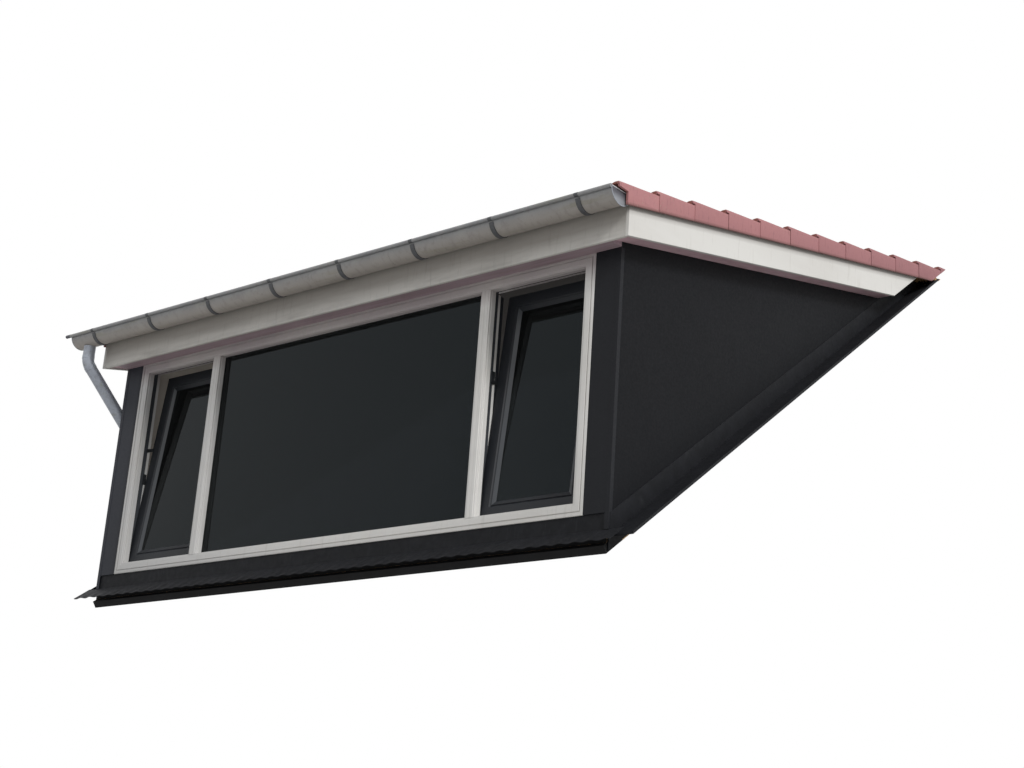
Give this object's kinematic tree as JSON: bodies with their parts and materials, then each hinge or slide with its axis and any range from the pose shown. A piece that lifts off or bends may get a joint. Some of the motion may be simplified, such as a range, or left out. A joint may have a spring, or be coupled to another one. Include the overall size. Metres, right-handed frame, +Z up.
{
  "type": "dormer window",
  "caption": "Wide shed dormer window with fixed centre light, tilted side sashes, dark cheeks, low tiled roof, gutter and downpipe.",
  "frame": {"origin": "middle of the front sole plate's sloping underside, which lies on the boarding of the house roof", "axes": "+X along the window to the right seen from outside, +Y into the house, +Z up"},
  "size_m": [4.695, 3.9763, 2.7776],
  "materials": {
    "white_frame": "satin, slightly weathered",
    "anthracite_sash": "satin",
    "glass": "clear, reflective",
    "cheek_panel": "smooth satin",
    "timber": "planed softwood",
    "wallboard": "painted board",
    "white_board": "satin, slightly weathered",
    "soffit_board": "weathered board",
    "clay_tile": "matt, weathered",
    "zinc": "dull weathered zinc",
    "lead_sheet": "dull weathered lead",
    "hardware": "satin"
  },
  "bodies": {
    "root": {"apron_skirt": "lead_sheet", "apron_upstand": "lead_sheet", "bargeboards": "white_board", "ceiling_panel": "wallboard", "centre_beads": "white_frame", "centre_glass": "glass", "cheek_cladding": "cheek_panel", "cheek_linings": "wallboard", "corner_panels": "cheek_panel", "downpipe": "zinc", "eaves_verge_tiles": "clay_tile", "flashing_trays": "lead_sheet", "flashing_upstands": "lead_sheet", "frame_head": "white_frame", "frame_jambs": "white_frame", "frame_sill": "white_frame", "front_fascia": "white_board", "front_soffit": "soffit_board", "front_sole_plate": "timber", "front_wall": "timber", "gutter_brackets": "zinc", "gutter_ends": "zinc", "gutter_outlet": "zinc", "head_beam": "timber", "left_cheek_wall": "timber", "left_gutter": "zinc", "left_sash": "anthracite_sash", "left_verge_tiles": "clay_tile", "mullions": "white_frame", "pipe_clips": "zinc", "rear_ledger": "timber", "right_cheek_wall": "timber", "right_gutter": "zinc", "right_sash": "anthracite_sash", "right_verge_tiles": "clay_tile", "roof_deck": "timber", "roof_rafters": "timber", "roof_tiles": "clay_tile", "sash_glass": "glass", "sash_handles": "hardware", "sash_hinges": "hardware", "sash_stays": "hardware", "side_soffits": "soffit_board", "side_sole_plates": "timber", "tile_battens": "timber"}
  },
  "joints": []
}
